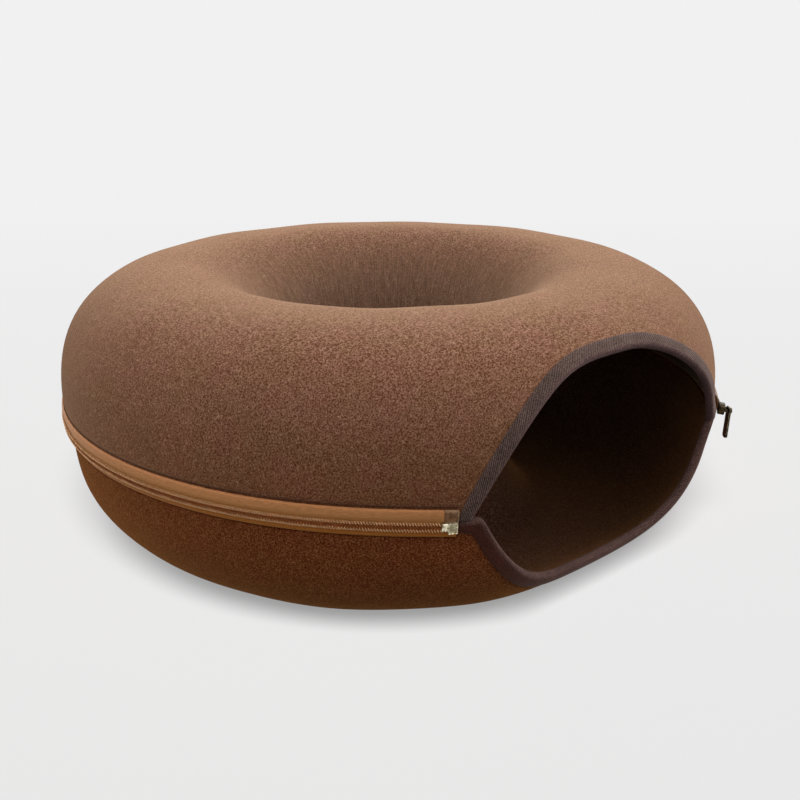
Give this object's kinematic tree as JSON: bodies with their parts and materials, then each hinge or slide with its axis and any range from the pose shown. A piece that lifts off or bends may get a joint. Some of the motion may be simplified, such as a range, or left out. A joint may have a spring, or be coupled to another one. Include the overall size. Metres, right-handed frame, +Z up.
{
  "type": "donut-shaped felt tunnel bed for a cat",
  "caption": "Ring-shaped felt cat bed with a hollow tunnel, a central hole, a bound entrance and a zip round its widest line.",
  "frame": {"origin": "on the floor, under the middle of the whole bed's outline", "axes": "+Z up, -Y towards the entrance, +X to the right as seen from in front of the entrance, where the zip has its slider"},
  "size_m": [0.5043, 0.487, 0.197],
  "materials": {
    "upper_felt": "brown heathered needle felt",
    "lower_felt": "darker brown heathered needle felt",
    "binding": "dark plum-brown twill tape",
    "zip_tape": "tan woven tape",
    "zip_coil": "red-brown nylon coil with pale sewing thread",
    "zip_film": "clear stiffening film over the tape's end",
    "steel": "plated, slightly worn",
    "bronze": "antique bronze plating"
  },
  "bodies": {
    "root": {"shell_upper": "upper_felt", "shell_lower": "lower_felt", "binding_upper": "binding", "binding_lower": "binding", "zip_tape_upper": "zip_tape", "zip_tape_lower": "zip_tape", "zip_film": "zip_film", "zip_coil_upper": "zip_coil", "zip_coil_lower": "zip_coil", "zip_box": "steel", "zip_slider": "bronze", "zip_pull": "bronze"}
  },
  "joints": []
}
